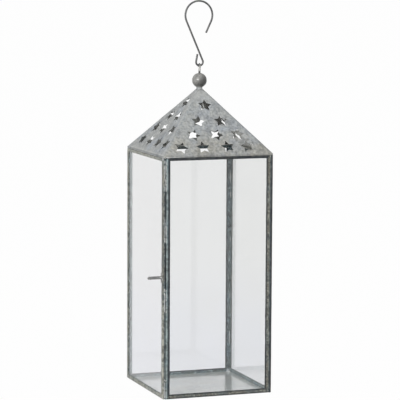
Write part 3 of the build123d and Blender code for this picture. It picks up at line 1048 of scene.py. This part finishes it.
# %% Bend the S-hook
hook_low, hook_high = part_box("s_hook")
hook_radius = (hook_high.y - hook_low.y) / 2
small_radius = 0.0035
big_radius = 0.0137
big_side = -0.0008
bends_apart = 0.0448
big_centre = Vector((big_side, 0, hook_high.z - hook_radius - big_radius))
small_centre = Vector((0, 0, big_centre.z - bends_apart))
tip_lean = 25.0
tail_lean = 10.5
tip_run = 0.0122
tail_run = 0.0072
apart = big_centre - small_centre
both_radii = big_radius + small_radius
shank_lean = math.degrees(math.atan2(-apart.x, apart.z) + math.asin(both_radii / apart.length))
shank_run = math.sqrt(apart.length ** 2 - both_radii ** 2)
lean = math.radians(tip_lean)
tip_start = big_centre + Vector((math.cos(lean), 0, -math.sin(lean))) * big_radius
tip_end = tip_start - Vector((math.sin(lean), 0, math.cos(lean))) * tip_run
hook_moves = (
    (tip_run, big_radius, 180 + tip_lean + shank_lean),
    (shank_run, small_radius, -(180 + tail_lean + shank_lean)),
    (tail_run, 0, 0),
)
hook, tail_end = bend_wire(
    "s_hook_wire", tip_end, 90 - tip_lean, (1, 0, 0), (0, 0, 1), hook_radius, hook_moves)
finish_wire(hook, (tip_end, tail_end), "hook", "s_hook", wire_tin)

# %% [markdown]
# The eye is a split pin: one wire, looped at the top, both legs down through the ball and the roof's
# point, then spread along the slopes inside. The pull is a hairpin, its ends bent up and down against the
# door's front upright. The same jig bends both.

# %% Bend the eye
eye_radius = (eye_high.x - eye_low.x) / 2
loop_radius = 0.0019
loop_centre = eye_top - eye_radius - loop_radius
leg_side = 0.00075
leg_slope = math.atan2(slope_rise, slope_run)
leg_length = 0.022
leg_bend = 0.0025
leg_bend_height = roof_top - 0.0028
flare_bend = 0.0050
flare_height = eye_top - 0.0087
flare_drop = loop_centre - flare_height
flare_reach = math.hypot(leg_side, flare_drop)
flare_turn = math.atan2(flare_drop, leg_side) - math.acos(loop_radius / flare_reach)
flare_tangent = flare_bend * math.tan(flare_turn / 2)
flare_run = math.sqrt(flare_reach ** 2 - loop_radius ** 2) - flare_tangent
leg_turn = math.pi / 2 - leg_slope
leg_tangent = leg_bend * math.tan(leg_turn / 2)
foot_run = leg_length - leg_tangent
leg_run = flare_height - leg_bend_height - leg_tangent - flare_tangent
leg_degrees = math.degrees(leg_turn)
flare_degrees = math.degrees(flare_turn)
eye_moves = (
    (foot_run, leg_bend, -leg_degrees),
    (leg_run, flare_bend, -flare_degrees),
    (flare_run, loop_radius, 180 + 2 * flare_degrees),
    (flare_run, flare_bend, -flare_degrees),
    (leg_run, leg_bend, -leg_degrees),
    (foot_run, 0, 0),
)
foot_side = leg_side + leg_length * math.cos(leg_slope)
leg_foot = Vector((0, foot_side, leg_bend_height - leg_length * math.sin(leg_slope)))
eye, far_foot = bend_wire(
    "hanging_eye_wire", leg_foot, 180 - math.degrees(leg_slope), (0, 1, 0), (0, 0, 1), eye_radius, eye_moves)
finish_wire(eye, (leg_foot, far_foot), "lantern", "hanging_eye", painted_highlight_wire)

# %% Bend the pull
pull_low, pull_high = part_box("door_pull")
pull_radius = (pull_high.y - pull_low.y) / 2
pull_y = (pull_low.y + pull_high.y) / 2
root_bend = 0.0018
hairpin_bend = 0.00075
pull_seat = pull_high.x - pull_radius
arm_run = pull_seat - (pull_low.x + pull_radius) - hairpin_bend - root_bend
foot_run = (pull_high.z - pull_low.z) / 2 - hairpin_bend - root_bend
pull_moves = (
    (foot_run, root_bend, -90),
    (arm_run, hairpin_bend, 180),
    (arm_run, root_bend, -90),
    (foot_run, 0, 0),
)
upper_foot = Vector((pull_seat, pull_y, pull_high.z))
pull, lower_foot = bend_wire(
    "door_pull_wire", upper_foot, -90, (1, 0, 0), (0, 0, 1), pull_radius, pull_moves)
finish_wire(pull, (upper_foot, lower_foot), "door", "door_pull", pull_wire)

# %% [markdown]
# ## Finial
# A ball sits on a short waisted neck that was soldered to the roof's point. The neck is turned from a
# ring: each extrude carries the ring to the next radius and height, up the outside, over the seat and
# down the bore, and bridging the last ring to the first closes it. A Screw modifier would turn it as
# well, but the rings can be named one by one. The ball starts as a sphere, is bored for the eye's two
# legs and gets the faint dents of a rough casting.

# %% Turn the neck
neck_low, neck_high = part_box("finial_collar")
neck_foot = neck_high.x
neck_waist = 0.0027
neck_rim = 0.0032
seat_radius = 0.0024
seat_depth = 0.0006
neck_profile = (
    (neck_foot, neck_low.z + 0.0003),
    (neck_waist + 0.0003, neck_low.z + 0.0008),
    (neck_waist, (neck_low.z + neck_high.z) / 2),
    (neck_waist + 0.0001, neck_high.z - 0.0007),
    (neck_rim, neck_high.z),
    (seat_radius, neck_high.z - seat_depth / 2),
    (bore_radius, neck_high.z - seat_depth),
    (bore_radius, neck_low.z),
)
neck = start_with(
    bpy.ops.mesh.primitive_circle_add, "finial_neck", vertices=40, radius=neck_foot,
    location=(0, 0, neck_low.z))
choose(neck, "EDGE", lambda a, b: True)
ring_radius, ring_height = neck_foot, neck_low.z
for next_radius, next_height in neck_profile:
    bpy.ops.mesh.extrude_region_move(TRANSFORM_OT_translate={"value": (0, 0, next_height - ring_height)})
    draw_in(next_radius / ring_radius, next_height)
    ring_radius, ring_height = next_radius, next_height
choose(neck, "EDGE", lambda a, b: max(a.z, b.z) < neck_low.z + 1e-6 and abs(a.xy.length - b.xy.length) < 1e-5)
bpy.ops.mesh.bridge_edge_loops()
bpy.ops.object.mode_set(mode="OBJECT")
apply_modifier(neck, "SUBSURF", levels=1, render_levels=1)
print("neck turned,", len(neck.data.polygons), "faces")


# %% Roughen the neck with solder
def outside_neck(co):
    return ease(co.xy.length, 0.0022, 0.0026) * ease(co.z, neck_low.z, neck_low.z + 0.0004)


weigh(neck, "outside", outside_neck)
neck_solder = dents("neck solder", 0.0017)
neck_lumps = 0.0006
apply_modifier(
    neck, "DISPLACE", strength=neck_lumps, mid_level=0.5, texture=neck_solder, vertex_group="outside")
tidy_mesh(neck, 60)
neck.data.materials.append(roof_tin)
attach(neck, "lantern")
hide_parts("finial_collar")
print("neck", len(neck.data.polygons), "faces")

# %% Cast the ball
ball_radius = ball_high.x
ball_roughness = 0.00022
ball_middle = (0, 0, ball_high.z - math.sqrt(ball_radius ** 2 - bore_radius ** 2))
ball = start_with(
    bpy.ops.mesh.primitive_uv_sphere_add, "finial_ball_cast", segments=48, ring_count=32, radius=ball_radius,
    location=ball_middle)
ball_dents = dents("ball dents", 0.0032)
apply_modifier(ball, "DISPLACE", strength=ball_roughness, mid_level=0.6, texture=ball_dents)
drill = start_with(
    bpy.ops.mesh.primitive_cylinder_add, "ball_drill", vertices=32, radius=bore_radius, depth=0.03,
    location=ball_middle)
cut_out(ball, drill)
smooth(ball, 40)
ball.data.materials.clear()
ball.data.materials.append(finial_tin)
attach(ball, "lantern")
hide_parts("finial_ball")
print("ball", len(ball.data.polygons), "faces")

# %% [markdown]
# ## Solder
# The mitres, the corners between panes and the pull's two ends are soldered by hand, and the solder
# stands in small pale lumps. Bump alone would not show at the edges, so each lump starts as a squashed
# sphere. Voxel remesh flows a group of them into one skin, as liquid metal would, and a fine displacement
# roughens it. The lumps on the door are their own piece, because they move with it.


# %% Flow lumps into one skin
skin_fineness = 0.0003
solder_roughness = 0.0004
solder_grain = 0.0016


def lay_solder(name, body, lumps):
    add_lump = bpy.ops.mesh.primitive_ico_sphere_add
    beads = [
        start_with(add_lump, "solder_lump", subdivisions=2, radius=1, location=place, scale=size)
        for place, size in lumps
    ]
    solder = join(beads)
    solder.name = name
    apply_modifier(solder, "REMESH", mode="VOXEL", voxel_size=skin_fineness)
    apply_modifier(solder, "SMOOTH", factor=0.5, iterations=2)
    solder_dents = dents(name, solder_grain)
    apply_modifier(solder, "DISPLACE", strength=solder_roughness, mid_level=0.5, texture=solder_dents)
    tidy_mesh(solder, 60)
    solder.data.materials.append(solder_tin)
    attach(solder, body)
    print(name, "from", len(lumps), "lumps,", len(solder.data.polygons), "faces")


print("solder flows at", skin_fineness * 1000, "mm")

# %% Set lumps on the mitres
chance = random.Random(11)
mitre_inset = 0.0021
lump_length = 0.0018
lump_height = 0.0015
lump_thickness = 0.00030
lump_sunk = 0.00008
foot_clearance = 0.0004


def around(value, spread):
    return value * (1 + chance.uniform(-spread, spread))


def mitre_lumps(pane):
    edges = [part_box(f"{pane}_came_{edge}") for edge in pane_edges[pane]]
    low = Vector([min(e[0][i] for e in edges) for i in range(3)])
    high = Vector([max(e[1][i] for e in edges) for i in range(3)])
    through = 1 if pane in ("front", "back") else 0
    across = 1 - through
    lumps = []
    for surface in (low[through] + lump_sunk, high[through] - lump_sunk):
        for foot in (True, False):
            for first in (True, False):
                place = Vector((0, 0, 0))
                inset = around(mitre_inset, 0.3)
                place[through] = surface
                place[across] = low[across] + inset if first else high[across] - inset
                place.z = low.z + inset if foot else high.z - inset * 0.7
                level = [around(lump_length, 0.35) for _ in range(2)]
                size = Vector((*level, around(lump_height, 0.4)))
                size[through] = around(lump_thickness, 0.3)
                place.z = max(place.z, size.z + foot_clearance)
                lumps.append((place, size))
    return lumps


print("one pane has", len(mitre_lumps("back")), "lumps on its mitres")
door_lumps = mitre_lumps("door")
fixed_lumps = []
for pane in ("front", "right", "back"):
    fixed_lumps += mitre_lumps(pane)
print("mitres soldered with", len(fixed_lumps) + len(door_lumps), "lumps")

# %% [markdown]
# Besides the mitres, the fixed panes are tacked to each other down their right corners, the floor is
# tacked to the right and back panes, and a run of solder lies along parts of the front left corner, on
# the door's edge and on the strip beside it, with painted shade in the bare gap between those runs. One
# more run goes along the front eave from that corner.

# %% Run solder down both sides of the front left corner
stile_low, stile_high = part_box("front_came_left")
wall = stile_low.y
gap_middle = (door_edge + stile_low.x) / 2
run_length = 0.0030
overrun = 0.0008
stagger = 0.0008
strip_bead = 0.00062
strip_bead_sunk = 0.00030
strip_bead_size = 0.00050
door_bead = 0.0010
door_bead_sunk = 0.0002
for low_end, high_end in edge_runs:
    height = low_end
    while height < high_end:
        room = high_end + overrun - height
        reach = min(around(run_length, 0.4), room)
        place = (gap_middle + strip_bead, wall + strip_bead_sunk, height)
        fixed_lumps.append((place, (strip_bead_size, strip_bead_size, reach)))
        place = (gap_middle - around(door_bead, 0.2), wall + door_bead_sunk, height + stagger)
        door_lumps.append((place, (0.00060, 0.00045, min(around(reach, 0.3), room))))
        height += around(run_length, 0.4)
print("corner solder,", len(fixed_lumps), "fixed lumps and", len(door_lumps), "on the door")

# %% Tack the floor and the right corners
plate_low, plate_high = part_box("base_plate")
tack_inset = 0.0017
corner_step = 0.0014
tack_heights = (0.035, 0.078, 0.125, 0.168, 0.205)
for turn_x, turn_y, size in ((1, 1, 1.5), (1, -1, 0.9), (-1, 1, 0.9)):
    x = plate_high.x - tack_inset if turn_x > 0 else plate_low.x + tack_inset
    y = turn_y * (plate_high.y - tack_inset)
    fixed_lumps.append(((x, y, plate_high.z + 0.0002), (0.0016 * size, 0.0014 * size, 0.0008 * size)))
    for height in tack_heights if turn_x > 0 else ():
        place = (x + turn_x * corner_step, y + turn_y * corner_step, around(height, 0.12))
        fixed_lumps.append((place, (0.0006, 0.0006, around(0.0060, 0.5))))
print("tacked,", len(fixed_lumps), "fixed lumps")

# %% Solder the front eave and the pull, and let it all flow
eave_front = roof_low.y
along_eave = stile_low.x + 0.0004
eave_run_end = stile_low.x + 0.0135
while along_eave < eave_run_end:
    reach = around(0.0012, 0.4)
    place = (along_eave, eave_front + 0.0001, stile_high.z + 0.0004)
    fixed_lumps.append((place, (reach, 0.00065, 0.00060)))
    along_eave += around(0.0014, 0.3)
for height in (pull_low.z + 0.0022, pull_high.z - 0.0022):
    door_lumps.append(((door_face, pull_y, height), (0.00055, 0.0012, 0.0026)))
lay_solder("solder_fixed", "lantern", fixed_lumps)
lay_solder("solder_door", "door", door_lumps)

# %% [markdown]
# ## Stage and light
# The lantern stands on a plain white floor in soft light from the upper left. Lamps strong enough to make
# the floor white would bleach the tin, so the floor and the world are bright only for the camera and for
# what the metal and the glass show. The floor keeps the lantern's soft shadow.


# %% White floor
def seen_share(tree):
    rays = tree.nodes.new("ShaderNodeLightPath").outputs
    seen = calculate(tree, "MAXIMUM", rays["Is Camera Ray"], rays["Is Glossy Ray"])
    return calculate(tree, "MAXIMUM", seen, rays["Is Transmission Ray"])


floor_size = 40
floor_level = -0.0002
paper_grey = (0.45, 0.45, 0.45, 1.0)
white_share = 0.985
floor = start_with(
    bpy.ops.mesh.primitive_plane_add, "studio_floor", size=floor_size, location=(0, 0, floor_level))
paper = bpy.data.materials.new("studio paper")
paper.use_nodes = True
tree = paper.node_tree
shader = tree.nodes["Principled BSDF"]
shader.inputs["Base Color"].default_value = paper_grey
shader.inputs["Roughness"].default_value = 0.9
white = add_node(tree, "ShaderNodeEmission", Color=(1, 1, 1, 1), Strength=1.0)
mix_shaders(tree, calculate(tree, "MULTIPLY", seen_share(tree), white_share), shader, white)
floor.data.materials.append(paper)
print("white floor", floor_size, "m wide")

# %% White world
world_light = 0.22
world = bpy.data.worlds.new("studio")
bpy.context.scene.world = world
world.use_nodes = True
tree = world.node_tree
sky = tree.nodes["Background"].inputs
sky["Color"].default_value = (1, 1, 1, 1)
strength = calculate(tree, "MULTIPLY_ADD", seen_share(tree), 1 - world_light, world_light)
tree.links.new(strength, sky["Strength"])
print("world lights with", world_light)


# %% Soft lamps
def soft_lamp(name, place, aim, size, power):
    lamp = bpy.data.lights.new(name, "AREA")
    lamp.size = size
    lamp.energy = power
    holder = bpy.data.objects.new(name, lamp)
    holder.location = place
    holder.rotation_euler = (Vector(aim) - Vector(place)).to_track_quat("-Z", "Y").to_euler()
    bpy.context.scene.collection.objects.link(holder)


body_middle = (0, 0, 0.17)
soft_lamp("key", (-1.77, -1.70, 0.95), body_middle, size=0.9, power=62)
soft_lamp("overhead", (0.1, -0.2, 2.2), body_middle, size=1.2, power=8)
view = bpy.context.scene.view_settings
view.view_transform = "Standard"
